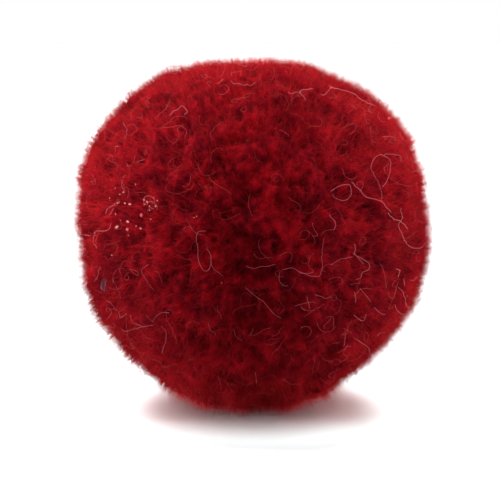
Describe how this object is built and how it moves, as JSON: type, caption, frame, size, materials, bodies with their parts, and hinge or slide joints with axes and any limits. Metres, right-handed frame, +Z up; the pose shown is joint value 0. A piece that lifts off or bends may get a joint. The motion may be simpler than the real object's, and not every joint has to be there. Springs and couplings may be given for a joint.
{
  "type": "plush pom pom",
  "caption": "Round plush pom pom of cut wool yarn with a dense, slightly uneven trimmed pile and a small flat spot to rest on.",
  "frame": {"origin": "the middle of the ball's outline on the surface it rests on", "axes": "+Z up, +X to the right and -Y to the front as the ball is shown"},
  "size_m": [0.04, 0.0394, 0.0388],
  "materials": {
    "wool_pile": "deep crimson cut wool yarn, matt and velvety, with darker creases between the tufts",
    "stray_lint": "thin pinkish hairs and tiny pale specks caught in the pile, slightly shiny",
    "plum_lint": "one small fleck of dull plum lint, matt"
  },
  "bodies": {
    "root": {"pile_ball": "wool_pile"}
  },
  "joints": []
}
